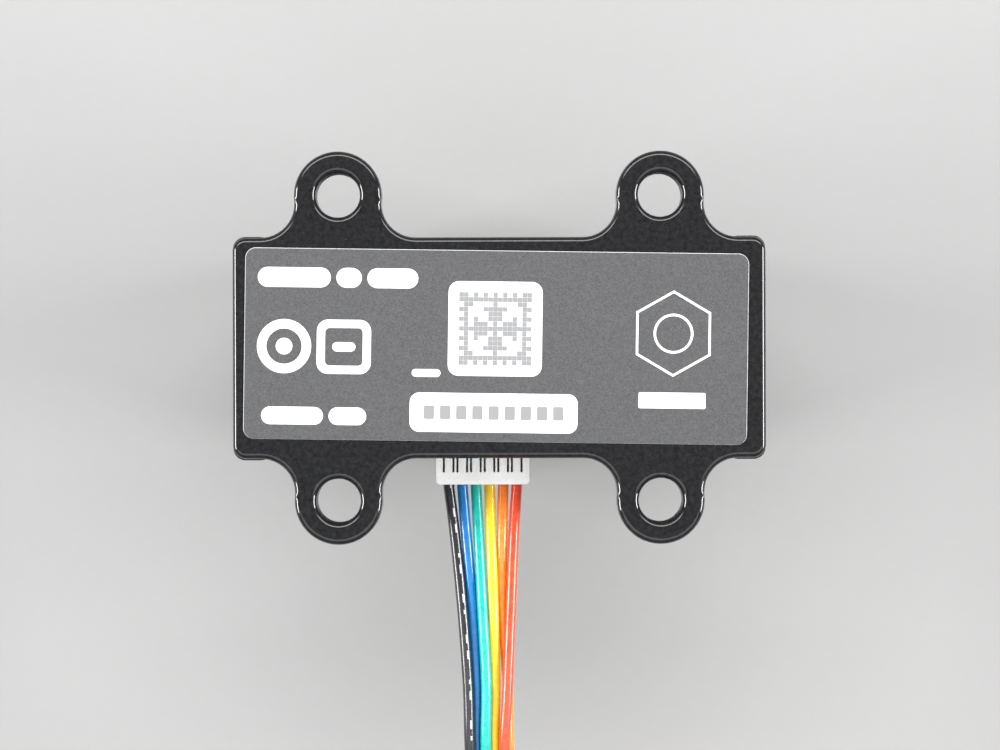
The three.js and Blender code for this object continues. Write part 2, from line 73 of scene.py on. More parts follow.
COVER_LOW, COVER_HIGH = node_box("rear_cover")
_, HOUSING_HIGH = node_box("front_housing")
LABEL_LOW, LABEL_HIGH = node_box("rear_label")
PLUG_LOW, PLUG_HIGH = node_box("plug_housing")
LENS_LOW, LENS_HIGH = node_box("emitter_lens")
RING_LOW, RING_HIGH = node_box("emitter_lens_ring")

REAR = COVER_HIGH.z
COVER_FRONT = COVER_LOW.z
HALF_LONG = COVER_HIGH.x
POST_PROUD = HOUSING_HIGH.x - HALF_LONG  # how far the housing's corners stand outside the cover
POST_R = 1.1
HALF_TALL = HOUSING_HIGH.y - POST_PROUD
CORNER_R = 1.2
EDGE_R = 0.5  # the cover's round rear edge, and the round edge where a screw enters an ear
EAR_R = 3.97
EAR_X = 14.57
EAR_Y = COVER_HIGH.y - EAR_R
EAR_FILLET_R = 3.1
EAR_HOLE_R = 2.0
BARREL_X = (LENS_LOW.x + LENS_HIGH.x) / 2
BARREL_R = 9.9
BOX_FRONT = 24
FLOOR_REAR = 26  # the rear face of the box's floor, which carries the barrels
WALL = 1.5
PAST = 1  # how far a cutting or joining shape reaches past the face that it crosses
SCREW_LOW, SCREW_HIGH = node_box("cover_screw_1")
SCREW_X = -(SCREW_LOW.x + SCREW_HIGH.x) / 2
SCREW_Y = -(SCREW_LOW.y + SCREW_HIGH.y) / 2
SCREW_PLACES = [(side_x * SCREW_X, side_y * SCREW_Y) for side_x, side_y in CORNERS]
SCREW_HEAD_TALL = 1.0
SCREW_SEAT = SCREW_HIGH.z - SCREW_HEAD_TALL
SCREW_POCKET_GAP = 0.15
SCREW_POCKET_R = (SCREW_HIGH.x - SCREW_LOW.x) / 2 + SCREW_POCKET_GAP
SCREW_HOLE_R = 1.1
SCREW_R = 1.0
LABEL_TURN = -0.0159  # in radians
LABEL_X = (LABEL_LOW.x + LABEL_HIGH.x) / 2
LABEL_Y = (LABEL_LOW.y + LABEL_HIGH.y) / 2
LABEL_LONG = 45.5
LABEL_TALL = 17.28
INK = 0.02  # how much of the label's thickness is ink
GUARD = 0.03  # a narrow flat band beside each rounding, which keeps the flat face's shading flat
LEAST_R = 0.001  # stands in for no radius at all


# ---- The plug's and the wires' sizes, and the wires' route ----

WIRE_LENGTH = 200
WIRE_R = 0.5
TIP_LENGTH = 4  # the tinned end
CORE_R = 0.28
WAYS = 6
PITCH = 1.25
WIRE_Z = 32.75  # the height of the wires and their cavities at the plug
PLUG_TIP = -5.3  # the y of the plug's front end, inside the header
# The bundle's middle line from the plug down to the coil.
BUNDLE = [
    (-1.56, -12.82, 32.75),
    (-1.52, -16.5, 32.75),
    (-1.24, -23.7, 32.6),
    (-1.07, -31.1, 32.1),
    (-0.76, -38.5, 31.2),
    (0.72, -46, 27.4),
    (4.3, -52, 16.2),
    (8.3, -57.2, 4.5),
    (11.2, -63.5, 1.4),
    (12.5, -68.5, 0.98),
    (12.8, -72, 0.98),
]
# Each wire's place in the bundle, (across, up), at the bundle's first places. The last one lasts to the end.
WIRES = {
    "black": [
        (-3.125, 0), (-2.69, 0), (-2.25, 0.15), (-1.9, 0.35), (-1.93, 0.2), (-1.75, -0.15), (-1.29, -0.45),
    ],
    "blue": [
        (-1.875, 0), (-1.63, 0), (-1.31, -0.2), (-1.1, -0.3), (-1.24, -0.6), (-0.7, -0.55), (-0.26, -0.45),
    ],
    "green": [
        (-0.625, 0), (-0.48, 0), (-0.4, 0.25), (-0.22, 0.3), (-0.53, 0.2), (-0.66, 0.5), (-0.77, 0.45),
    ],
    "yellow": [
        (0.625, 0), (0.66, 0), (0.61, 0.1), (0.59, -0.35), (0.29, -0.45), (0.4, 0.1), (0.26, 0.45),
    ],
    "orange": [
        (1.875, 0), (1.74, 0), (1.42, -0.5), (1.75, -0.85), (1.62, -0.75), (1.2, -0.68), (0.77, -0.45),
    ],
    "red": [
        (3.125, 0), (2.84, 0.1), (2.24, 0.15), (1.75, 0.3), (1.19, 0.25), (1.45, 0.35), (1.29, 0.45),
    ],
}
COIL_X, COIL_Y, COIL_Z = -4, -72, 0.98
COIL_START = 16.8  # the middle line's radius where the coil begins
COIL_TURNS = 2  # more than the wires need: each one is cut to its length
COIL_PITCH = 3.8  # each turn lies inside the last
COIL_PLACES = 24  # places in a turn


# ---- Meshes ----


def finished(obj, body, slot, stands_for=(), look=None):
    """Gives a new piece its material, its body and the CAD nodes that it stands for.

    The material is its slot's own, unless look names another.
    """
    obj.data.materials.clear()
    obj.data.materials.append(LOOKS[look or slot])
    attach(obj, body)
    if stands_for:
        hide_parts(*stands_for)
    return obj


def smooth(obj, angle=40):
    """Shades a piece smooth, apart from its sharp edges."""
    obj.data.shade_smooth()
    obj.data.set_sharp_from_angle(angle=math.radians(angle))
    return obj


def in_scene(name, data):
    """A new object in the scene."""
    obj = bpy.data.objects.new(name, data)
    bpy.context.scene.collection.objects.link(obj)
    return obj


def mesh_object(name, bm):
    """An object from a bmesh in millimetres, with its faces pointing out."""
    bmesh.ops.recalc_face_normals(bm, faces=bm.faces)
    mesh = bpy.data.meshes.new(name)
    bm.to_mesh(mesh)
    bm.free()
    mesh.transform(Matrix.Scale(MM, 4))
    return in_scene(name, mesh)


def ring_of(bm, points):
    """New vertices at these points."""
    return [bm.verts.new(point) for point in points]


def bridge(bm, ring_a, ring_b):
    """Joins two closed rings of the same number of points."""
    count = len(ring_a)
    for i in range(count):
        j = (i + 1) % count
        bm.faces.new((ring_a[i], ring_a[j], ring_b[j], ring_b[i]))


def bridge_all(bm, rings):
    """Joins each ring to the next."""
    for ring_a, ring_b in zip(rings, rings[1:]):
        bridge(bm, ring_a, ring_b)


def cap(bm, outer, *holes):
    """Fills the flat area between an outer ring and the rings of its holes."""
    rings = (outer, *holes)
    vertices = [vertex for ring in rings for vertex in ring]
    owners = [number for number, ring in enumerate(rings) for _ in ring]
    flat = [vertex.co.xy for vertex in vertices]
    edges, first = [], 0
    for ring in rings:
        count = len(ring)
        edges += [(first + i, first + (i + 1) % count) for i in range(count)]
        first += count
    inside_edges_only, tolerance = 1, 1e-7
    made = delaunay_2d_cdt(flat, edges, [], inside_edges_only, tolerance)
    triangles, sources = made[2], made[3]
    first_input = [source[0] for source in sources]
    for corners in triangles:
        ring_numbers = {owners[first_input[corner]] for corner in corners}
        in_a_hole = len(ring_numbers) == 1 and ring_numbers != {0}
        if not in_a_hole:
            bm.faces.new([vertices[first_input[corner]] for corner in corners])


def quarter(steps):
    """(share of the radius inwards, share of the radius along) round a quarter circle."""
    angles = [math.pi / 2 * i / steps for i in range(steps + 1)]
    return [(1 - math.sin(angle), 1 - math.cos(angle)) for angle in angles]


def plate(name, outline, low, high, top_r=0.0, bottom_r=0.0, holes=(), steps=5):
    """An upright slab. outline(inset) gives its points, and its long edges are rounded.

    A hole is (x, y, [(radius, z), ...]), with its profile from the top face to the bottom face.
    """
    bm = bmesh.new()
    if bottom_r:
        levels = [(bottom_r + GUARD, low)]
        levels += [(bottom_r * inwards, low + bottom_r * along) for inwards, along in quarter(steps)]
    else:
        levels = [(0, low)]
    if top_r:
        rounded = [(top_r * inwards, high - top_r * along) for inwards, along in quarter(steps)]
        levels += [*reversed(rounded), (top_r + GUARD, high)]
    else:
        levels.append((0, high))
    rings = [ring_of(bm, [(x, y, z) for x, y in outline(inset)]) for inset, z in levels]
    bridge_all(bm, rings)
    tops, bottoms = [rings[-1]], [rings[0]]
    for x, y, profile in holes:
        walls = [ring_of(bm, circle(x, y, z, radius)) for radius, z in profile]
        bridge_all(bm, walls)
        tops.append(walls[0])
        bottoms.append(walls[-1])
    cap(bm, *tops)
    cap(bm, *bottoms)
    return mesh_object(name, bm)


def circle(x, y, z, radius, count=64):
    """Points round a level circle."""
    angles = [2 * math.pi * i / count for i in range(count)]
    return [(x + radius * math.cos(angle), y + radius * math.sin(angle), z) for angle in angles]


def lathe(name, profile, x=0.0, y=0.0, count=128, closed=False):
    """A turned piece about the upright line at (x, y), from [radius, z] points.

    An open profile starts and ends on the axis. A closed one goes round a ring's section.
    """
    on_axis = 1e-6
    bm = bmesh.new()
    rings = []
    for radius, z in profile:
        if radius < on_axis:
            rings.append([bm.verts.new((x, y, z))])
        else:
            rings.append(ring_of(bm, circle(x, y, z, radius, count)))
    pairs = list(zip(rings, rings[1:]))
    if closed:
        pairs.append((rings[-1], rings[0]))
    for ring_a, ring_b in pairs:
        if len(ring_a) == 1 or len(ring_b) == 1:
            tip, ring = (ring_a[0], ring_b) if len(ring_a) == 1 else (ring_b[0], ring_a)
            for i in range(count):
                bm.faces.new((tip, ring[i], ring[(i + 1) % count]))
        else:
            bridge(bm, ring_a, ring_b)
    return mesh_object(name, bm)


def filleted(points, radii, steps=5):
    """A profile's corners rounded off: one radius for each point, 0 where it stays sharp."""
    out = []
    count = len(points)
    for i, (point, radius) in enumerate(zip(points, radii)):
        here = Vector(point)
        if not radius:
            out.append(tuple(here))
            continue
        to_last = (Vector(points[i - 1]) - here).normalized()
        to_next = (Vector(points[(i + 1) % count]) - here).normalized()
        half = to_last.angle(to_next) / 2
        reach = radius / math.tan(half)
        centre = here + (to_last + to_next).normalized() * (radius / math.sin(half))
        start = here + to_last * reach - centre
        end = here + to_next * reach - centre
        turn = start.angle_signed(end)
        out.append(tuple(centre + start + to_last * GUARD))
        for step in range(steps + 1):
            out.append(tuple(centre + Matrix.Rotation(-turn * step / steps, 2) @ start))
        out.append(tuple(centre + end + to_next * GUARD))
    return out


def arc(x, y, radius, start, end, steps):
    """Points round part of a circle, angles in radians."""
    angles = [start + (end - start) * i / steps for i in range(steps + 1)]
    return [(x + radius * math.cos(angle), y + radius * math.sin(angle)) for angle in angles]


def rounded_rectangle(long, tall, radius, x=0.0, y=0.0, steps=8):
    """The outline of a rectangle with round corners, as a function of how far it is inset."""

    def outline(inset):
        inner = max(radius - inset, LEAST_R)
        points = []
        for index, (side_x, side_y) in enumerate(CORNERS):
            start = math.pi + index * math.pi / 2
            corner_x = x + side_x * (long / 2 - radius)
            corner_y = y + side_y * (tall / 2 - radius)
            points += arc(corner_x, corner_y, inner, start, start + math.pi / 2, steps)
        return points

    return outline


def block(name, low, high, edge=0.0):
    """A box between two corners, its four upright edges and its top and bottom edges rounded."""
    steps = 3
    long, tall = high[0] - low[0], high[1] - low[1]
    middle = ((low[0] + high[0]) / 2, (low[1] + high[1]) / 2)
    outline = rounded_rectangle(long, tall, max(edge, LEAST_R), *middle, steps=steps if edge else 1)
    return plate(name, outline, low[2], high[2], edge, edge, steps=steps)


def boolean(obj, operation, *others):
    """Joins other objects to obj, or cuts them out of it, and removes them."""
    for other in others:
        modifier = obj.modifiers.new("join", "BOOLEAN")
        modifier.operation = operation
        modifier.solver = "EXACT"
        modifier.object = other
    depsgraph = bpy.context.evaluated_depsgraph_get()
    result = bpy.data.meshes.new_from_object(obj.evaluated_get(depsgraph))
    obj.modifiers.clear()
    old = obj.data
    obj.data = result
    result.name = obj.name
    bpy.data.meshes.remove(old)
    for other in others:
        bpy.data.objects.remove(other)
    return obj


def joined(name, objects):
    """Several separate meshes as one object."""
    bm = bmesh.new()
    for obj in objects:
        bm.from_mesh(obj.data)
        bpy.data.objects.remove(obj)
    mesh = bpy.data.meshes.new(name)
    bm.to_mesh(mesh)
    bm.free()
    return in_scene(name, mesh)


# ---- Materials ----


NOISE_RANGE = (0.3, 0.7)  # most of a noise's values lie between these


class Look:
    """A node material being built: a Principled shader and what drives it."""

    def __init__(self, name, colour, roughness, metallic=0.0, **constants):
        self.material = bpy.data.materials.new(name)
        self.material.use_nodes = True
        self.nodes = self.material.node_tree.nodes
        self.links = self.material.node_tree.links
        self.shader = self.nodes["Principled BSDF"]
        self.shader.inputs["Base Color"].default_value = (*colour, 1)
        self.shader.inputs["Roughness"].default_value = roughness
        self.shader.inputs["Metallic"].default_value = metallic
        for socket, value in constants.items():
            self.shader.inputs[socket.replace("_", " ")].default_value = value
        self.place = self.nodes.new("ShaderNodeTexCoord").outputs["Object"]
        self.normal = None

    def stretched(self, scale, turn):
        """The piece's own coordinates, stretched and turned about Z."""
        mapping = self.nodes.new("ShaderNodeMapping")
        mapping.inputs["Scale"].default_value = scale
        mapping.inputs["Rotation"].default_value = (0, 0, turn)
        self.links.new(self.place, mapping.inputs["Vector"])
        return mapping.outputs["Vector"]

    def noise(self, size_mm, detail, vector=None, roughness=0.5):
        """Noise with features of about this size."""
        node = self.nodes.new("ShaderNodeTexNoise")
        node.inputs["Scale"].default_value = 1 / (size_mm * MM)
        node.inputs["Detail"].default_value = detail
        node.inputs["Roughness"].default_value = roughness
        self.links.new(vector or self.place, node.inputs["Vector"])
        return node.outputs["Fac"]

    def spots(self, spacing_mm, radius_share):
        """1 inside scattered round spots, 0 elsewhere."""
        node = self.nodes.new("ShaderNodeTexVoronoi")
        node.inputs["Scale"].default_value = 1 / (spacing_mm * MM)
        self.links.new(self.place, node.inputs["Vector"])
        full = radius_share * 0.6  # a spot is at its fullest inside this
        inside = self.remap(node.outputs["Distance"], radius_share, full, 0, 1)
        chosen = self.nodes.new("ShaderNodeSeparateColor")
        self.links.new(node.outputs["Color"], chosen.inputs["Color"])
        few = self.remap(chosen.outputs["Red"], 0.72, 0.78, 0, 1)  # about a quarter of the places
        return self.combine("MULTIPLY", inside, few)

    def remap(self, value, low, high, to_low, to_high):
        """A value's range from low to high made to run from to_low to to_high, and clamped there."""
        node = self.nodes.new("ShaderNodeMapRange")
        node.inputs["From Min"].default_value = low
        node.inputs["From Max"].default_value = high
        node.inputs["To Min"].default_value = to_low
        node.inputs["To Max"].default_value = to_high
        self.links.new(value, node.inputs["Value"])
        return node.outputs["Result"]

    def spread(self, noise):
        """A noise made to run from 0 to 1."""
        return self.remap(noise, *NOISE_RANGE, 0, 1)

    def combine(self, operation, value_a, value_b):
        """Two values added or multiplied: the operation is ADD or MULTIPLY."""
        node = self.nodes.new("ShaderNodeMath")
        node.operation = operation
        self.links.new(value_a, node.inputs[0])
        self.links.new(value_b, node.inputs[1])
        return node.outputs[0]

    def mix(self, share, colour_a, colour_b):
        """colour_a where share is 0, colour_b where it is 1. Each is a colour or a socket."""
        node = self.nodes.new("ShaderNodeMix")
        node.data_type = "RGBA"
        self.links.new(share, node.inputs["Factor"])
        for socket, value in ((node.inputs[6], colour_a), (node.inputs[7], colour_b)):
            if isinstance(value, tuple):
                socket.default_value = (*value, 1)
            else:
                self.links.new(value, socket)
        return node.outputs[2]

    def colour(self, socket):
        """Drives the base colour."""
        self.links.new(socket, self.shader.inputs["Base Color"])

    def roughness(self, value, low, high):
        """Roughness from low to high over a noise's range."""
        self.links.new(self.remap(value, *NOISE_RANGE, low, high), self.shader.inputs["Roughness"])

    def bump(self, height, depth_mm, strength):
        """Adds relief to what is already there."""
        node = self.nodes.new("ShaderNodeBump")
        node.inputs["Strength"].default_value = strength
        node.inputs["Distance"].default_value = depth_mm * MM
        self.links.new(height, node.inputs["Height"])
        if self.normal:
            self.links.new(self.normal, node.inputs["Normal"])
        self.normal = node.outputs["Normal"]
        self.links.new(self.normal, self.shader.inputs["Normal"])


def gloss_black():
    """Polished black ABS: faint orange peel, hairline wipe marks and a few specks of dust."""
    look = Look("gloss_black_plastic", (0.006, 0.006, 0.0065), 0.1, Specular_IOR_Level=0.5)
    bloom = look.remap(look.noise(0.45, 6, roughness=0.8), 0.35, 0.66, 0, 1)
    body = look.mix(bloom, (0.004, 0.004, 0.0045), (0.0165, 0.0165, 0.017))
    patches = look.remap(look.noise(4, 2), 0.45, 0.6, 0, 1)
    dust = look.combine("MULTIPLY", look.spots(0.55, 0.05), patches)
    look.colour(look.mix(dust, body, (0.22, 0.22, 0.21)))
    smears = look.noise(3.5, 3)
    hairs = look.remap(look.noise(0.07, 2, look.stretched((1, 0.02, 1), 0.9)), 0.62, 0.75, 0, 0.3)
    look.roughness(look.combine("ADD", smears, hairs), 0.06, 0.15)
    look.bump(look.noise(1.4, 2), 0.004, 0.25)
    look.bump(look.noise(0.12, 2), 0.0004, 0.3)
    return look.material


def matt_black():
    """Matt black ABS with a fine moulded grain."""
    look = Look("matt_black_plastic", (0.014, 0.014, 0.015), 0.6)
    grain = look.noise(0.08, 3)
    look.colour(look.mix(grain, (0.010, 0.010, 0.011), (0.022, 0.022, 0.023)))
    look.roughness(grain, 0.5, 0.7)
    look.bump(grain, 0.01, 0.5)
    return look.material


def label_film():
    """Matt grey film: a fine printed grain and faint scuffs."""
    look = Look("label_grey", (0.09, 0.09, 0.091), 0.5)
    grain = look.noise(0.11, 4, roughness=0.75)
    body = look.mix(look.spread(grain), (0.018, 0.018, 0.019), (0.092, 0.092, 0.094))
    scuffs = look.remap(look.noise(0.15, 2, look.stretched((0.05, 1, 1), -0.5)), 0.7, 0.8, 0, 0.35)
    look.colour(look.mix(scuffs, body, (0.15, 0.15, 0.15)))
    look.roughness(grain, 0.42, 0.58)
    look.bump(grain, 0.006, 0.35)
    return look.material


def print_ink(name, colour):
    """Printed ink, a little uneven."""
    look = Look(name, colour, 0.5)
    grain = look.noise(0.1, 3)
    darker = tuple(0.94 * channel for channel in colour)
    look.colour(look.mix(look.remap(grain, 0.35, 0.65, 0, 1), darker, colour))
    look.roughness(grain, 0.42, 0.6)
    look.bump(grain, 0.003, 0.3)
    return look.material


def nylon():
    """Natural nylon: slightly translucent, with a soft grain."""
    colour = (0.92, 0.917, 0.905)
    depth = {"Subsurface_Weight": 0.25, "Subsurface_Scale": 0.0006, "Subsurface_Radius": (1.0, 0.8, 0.6)}
    look = Look("nylon_white", colour, 0.4, **depth)
    grain = look.noise(0.25, 3)
    darker = (colour[0] * 0.93, colour[1] * 0.92, colour[2] * 0.89)
    look.colour(look.mix(look.spread(grain), darker, colour))
    look.roughness(grain, 0.32, 0.5)
    look.bump(look.noise(0.12, 2), 0.004, 0.4)
    return look.material


def wire_skin(name, colour, deep):
    """Extruded PVC: a soft sheen under a glossy skin, with faint draw marks in a deeper colour."""
    skin = {"Coat_Weight": 0.6, "Coat_Roughness": 0.12, "Coat_IOR": 1.5}
    look = Look(name, colour, 0.35, Specular_IOR_Level=0.35, **skin)
    marks = look.noise(0.5, 3)
    fine = look.noise(0.15, 2)
    look.colour(look.mix(look.spread(marks), deep, colour))
    look.roughness(fine, 0.22, 0.42)
    look.bump(marks, 0.01, 0.3)
    look.bump(fine, 0.006, 0.5)
    look.bump(look.noise(0.06, 1), 0.004, 0.5)
    look.links.new(look.normal, look.shader.inputs["Coat Normal"])
    return look.material


def metal(name, colour, roughness):
    """Bare metal with a fine grain."""
    look = Look(name, colour, roughness, 1.0)
    grain = look.noise(0.1, 3)
    darker = tuple(0.8 * channel for channel in colour)
    look.colour(look.mix(grain, darker, colour))
    look.roughness(grain, roughness * 0.75, roughness * 1.35)
    look.bump(grain, 0.004, 0.4)
    return look.material


def clear_glass():
    """Coated optical glass, with the coating's faint violet."""
    colour, violet = (0.93, 0.97, 0.98), (0.72, 0.62, 1.0, 1)
    coating = {"Coat_Weight": 0.35, "Coat_Tint": violet}
    look = Look("lens_glass", colour, 0.02, IOR=1.52, Transmission_Weight=1.0, **coating)
    haze = look.noise(3.0, 2)
    look.roughness(haze, 0.01, 0.035)
    look.colour(look.mix(haze, colour, tuple(0.97 * channel for channel in colour)))
    return look.material


def filter_glass():
    """Deep red glass, polished."""
    look = Look("filter_glass", (0.12, 0.006, 0.02), 0.04, Coat_Weight=1.0, Coat_Roughness=0.02)
    haze = look.noise(1.5, 2)
    look.colour(look.mix(haze, (0.05, 0.002, 0.012), (0.18, 0.01, 0.03)))
    look.roughness(haze, 0.02, 0.06)
    return look.material


def foam():
    """Black foam, open-celled and dull."""
    look = Look("foam", (0.02, 0.02, 0.021), 0.95)
    cells = look.noise(0.25, 3)
    look.colour(look.mix(cells, (0.008, 0.008, 0.009), (0.035, 0.035, 0.036)))
    look.roughness(cells, 0.85, 1.0)
    look.bump(cells, 0.05, 0.9)
    return look.material


def circuit_board():
    """Green solder mask over copper, with tracks and vias as slight colour steps."""
    look = Look("circuit_board", (0.012, 0.11, 0.05), 0.35)
    weave = look.noise(0.5, 2)
    tracks = look.remap(look.noise(0.9, 0, look.stretched((0.2, 1, 1), 0.785)), 0.5, 0.53, 0, 1)
    board = look.mix(tracks, (0.008, 0.075, 0.035), (0.016, 0.16, 0.07))
    vias = look.spots(1.7, 0.12)
    look.colour(look.mix(vias, board, (0.55, 0.42, 0.18)))
    look.roughness(weave, 0.28, 0.42)
    look.bump(tracks, 0.03, 0.6)
    return look.material


def epoxy(name, colour, rough):
    """Moulded or fired packages, with a dull grain."""
    look = Look(name, colour, rough)
    grain = look.noise(0.07, 3)
    lighter = tuple(1.7 * channel for channel in colour)
    look.colour(look.mix(grain, colour, lighter))
    look.roughness(grain, rough - 0.1, rough + 0.12)
    look.bump(grain, 0.012, 0.5)
    return look.material


# Each wire's colour, and the deeper colour of its draw marks.
WIRE_COLOURS = {
    "black": ((0.018, 0.018, 0.023), (0.008, 0.008, 0.010)),
    "blue": ((0.0, 0.165, 0.45), (0.0, 0.115, 0.34)),
    "green": ((0.0, 0.46, 0.38), (0.0, 0.32, 0.26)),
    "yellow": ((0.95, 0.62, 0.02), (0.85, 0.50, 0.01)),
    "orange": ((0.95, 0.25, 0.02), (0.84, 0.17, 0.01)),
    "red": ((0.80, 0.075, 0.02), (0.66, 0.04, 0.012)),
}

LOOKS = {
    "gloss_black_plastic": gloss_black(),
    "matt_black_plastic": matt_black(),
    "label_grey": label_film(),
    "label_print": print_ink("label_print", (0.78, 0.79, 0.79)),
    "label_grey_print": print_ink("label_grey_print", (0.22, 0.22, 0.225)),
    # A lighter grey for the film's band round the label: partly its real cut edge, partly a painted
    # highlight.
    "label_edge_painted_highlight": print_ink("label_edge_painted_highlight", (0.5, 0.5, 0.5)),
    "wire_print": print_ink("wire_print", (0.5, 0.51, 0.53)),
    "steel": metal("steel", (0.62, 0.63, 0.65), 0.28),
    "tinned_metal": metal("tinned_metal", (0.70, 0.68, 0.62), 0.35),
    "lens_glass": clear_glass(),
    "filter_glass": filter_glass(),
    "foam": foam(),
    "circuit_board": circuit_board(),
    "chip_black": epoxy("chip_black", (0.022, 0.023, 0.025), 0.55),
    "ceramic_tan": epoxy("ceramic_tan", (0.32, 0.22, 0.13), 0.5),
    "nylon_white": nylon(),
}
for wire_name, (skin, deep) in WIRE_COLOURS.items():
    LOOKS[f"wire_{wire_name}"] = wire_skin(f"wire_{wire_name}", skin, deep)
LOOKS["cord_bundle"] = LOOKS["wire_black"]


def dress_nodes():
    """Gives every CAD node the material of its slot."""
    slots = {row["node"]: row["material_slot"] for row in frame["record"]["subparts"]}
    for name, obj in frame["nodes"].items():
        obj.data.materials.clear()
        obj.data.materials.append(LOOKS[slots[name]])


# ---- Camera, floor and light ----


def camera():
    """Looks straight down at the label, with +Y up in the picture and the photo's slight roll."""
    above_label = 350
    roll = -0.003
    data = bpy.data.cameras.new("camera")
    data.sensor_width = 36
    data.lens = 139.5
    data.clip_start = 0.01
    data.clip_end = 20
    obj = in_scene("camera", data)
    obj.location = Vector((0.054, -2.47, REAR + above_label)) * MM
    obj.rotation_euler.z = roll
    bpy.context.scene.camera = obj


def floor():
    """A pale plain floor under the lens rims."""
    bm = bmesh.new()
    half = 2500
    corners = [bm.verts.new((side_x * half, side_y * half, 0)) for side_x, side_y in CORNERS]
    bm.faces.new(corners)
    obj = mesh_object("floor", bm)
    look = Look("floor", (0.275, 0.275, 0.272), 0.75)
    grain = look.noise(1.2, 4)
    look.colour(look.mix(grain, (0.262, 0.262, 0.259), (0.288, 0.288, 0.285)))
    look.roughness(grain, 0.7, 0.85)
    obj.data.materials.append(look.material)


def softbox(name, place, size, power):
    """An area light, its place and size in millimetres, aimed at the module."""
    aim = (0, 0, 30)
    data = bpy.data.lights.new(name, "AREA")
    data.shape = "RECTANGLE"
    data.size, data.size_y = size[0] * MM, size[1] * MM
    data.energy = power
    obj = in_scene(name, data)
    obj.location = Vector(place) * MM
    direction = Vector(aim) * MM - obj.location
    obj.rotation_euler = direction.to_track_quat("-Z", "Y").to_euler()


def lights():
    """A dim pale surround, a wide key light towards +Y, a weak fill, and a light at each end."""
    world = bpy.data.worlds.new("world")
    world.use_nodes = True
    surround = world.node_tree.nodes["Background"].inputs
    surround["Color"].default_value = (0.93, 0.96, 1.0, 1)
    surround["Strength"].default_value = 0.24
    bpy.context.scene.world = world
    bpy.context.scene.view_settings.view_transform = "Standard"
    softbox("key", (0, 430, 640), (1250, 260), 8.4)
    softbox("fill", (0, -330, 740), (1300, 420), 3.1)
    softbox("left", (-600, -20, 320), (340, 180), 6.6)
    softbox("right", (600, -20, 320), (340, 180), 6.6)


# ---- Housing ----


def cover_outline(inset):
    """The cover's outline: a rounded rectangle with two ears on each long side."""
    rise = EAR_Y - HALF_TALL - EAR_FILLET_R
    total = EAR_R + EAR_FILLET_R
    reach = math.sqrt(total**2 - rise**2)
    lean = math.asin(rise / total)
    fillet_y = HALF_TALL + EAR_FILLET_R
    fillet_r = EAR_FILLET_R + inset
    corner_r = CORNER_R - inset
    points = []
    for turn in (0, math.pi):
        flip = round(math.cos(turn))

        def piece(x, y, radius, start, end, steps):
            points.extend(arc(flip * x, flip * y, radius, turn + start, turn + end, steps))

        corner_x, corner_y = HALF_LONG - CORNER_R, HALF_TALL - CORNER_R
        piece(corner_x, corner_y, corner_r, 0, math.pi / 2, 10)
        for ear_x in (EAR_X, -EAR_X):
            piece(ear_x + reach, fillet_y, fillet_r, 1.5 * math.pi, math.pi - lean, 12)
            piece(ear_x, EAR_Y, EAR_R - inset, -lean, math.pi + lean, 40)
            piece(ear_x - reach, fillet_y, fillet_r, lean, -math.pi / 2, 12)
        piece(-corner_x, corner_y, corner_r, math.pi / 2, math.pi, 10)
    return points


def rear_cover():
    """The cover with its four ears, the holes through them and the pockets for its screws."""
    steps = 8
    profile = [(EAR_HOLE_R + EDGE_R * inwards, REAR - EDGE_R * along) for inwards, along in quarter(steps)]
    profile.append((EAR_HOLE_R + EDGE_R + GUARD, REAR))
    profile.reverse()
    chamfer = 0.15  # at a hole's front end
    profile += [(EAR_HOLE_R, COVER_FRONT + chamfer), (EAR_HOLE_R + chamfer, COVER_FRONT)]
    holes = [(side_x * EAR_X, side_y * EAR_Y, profile) for side_x, side_y in CORNERS]
    for x, y in SCREW_PLACES:
        head, shank = (SCREW_POCKET_R, SCREW_SEAT), (SCREW_HOLE_R, COVER_FRONT)
        holes.append((x, y, [(head[0], REAR), head, (shank[0], head[1]), shank]))
    front_r = 0.12
    obj = smooth(plate("rear_cover_shell", cover_outline, COVER_FRONT, REAR, EDGE_R, front_r, holes, steps))
    return finished(obj, MODULE, "gloss_black_plastic", ["rear_cover"])


def box_outline(inset):
    """The housing box's outline, with its corners standing proud of the cover."""
    long, tall = 2.8, 1.9  # how far each proud corner runs along the long side and the short side
    ease = 0.3  # a third of the length of the slope at each end of it
    bite = POST_PROUD * 0.15  # how far the slope's ends are eased
    out_x, out_y = HALF_LONG + POST_PROUD - inset, HALF_TALL + POST_PROUD - inset
    in_x, in_y = HALF_LONG - inset, HALF_TALL - inset
    radius = POST_R - inset
    quarter_points = [
        (in_x, out_y - tall - 2 * ease),
        (in_x + bite, out_y - tall - ease),
        (out_x - bite, out_y - tall),
        (out_x, out_y - tall + ease),
        *arc(out_x - radius, out_y - radius, radius, 0, math.pi / 2, 10),
        (out_x - long + ease, out_y),
        (out_x - long, out_y - bite),
        (out_x - long - ease, in_y + bite),
        (out_x - long - 2 * ease, in_y),
    ]
    points = []
    for side_x, side_y in ((1, 1), (-1, 1), (-1, -1), (1, -1)):
        corner = [(side_x * x, side_y * y) for x, y in quarter_points]
        points += corner if side_x == side_y else reversed(corner)
    return points


def barrel_outside(side):
    """One barrel's outside, with a round front edge."""
    edge_r = 0.4
    points = [(0, 0), (BARREL_R, 0), (BARREL_R, BOX_FRONT + PAST), (0, BOX_FRONT + PAST)]
    return lathe("barrel", filleted(points, [0, edge_r, 0, 0]), side * BARREL_X)


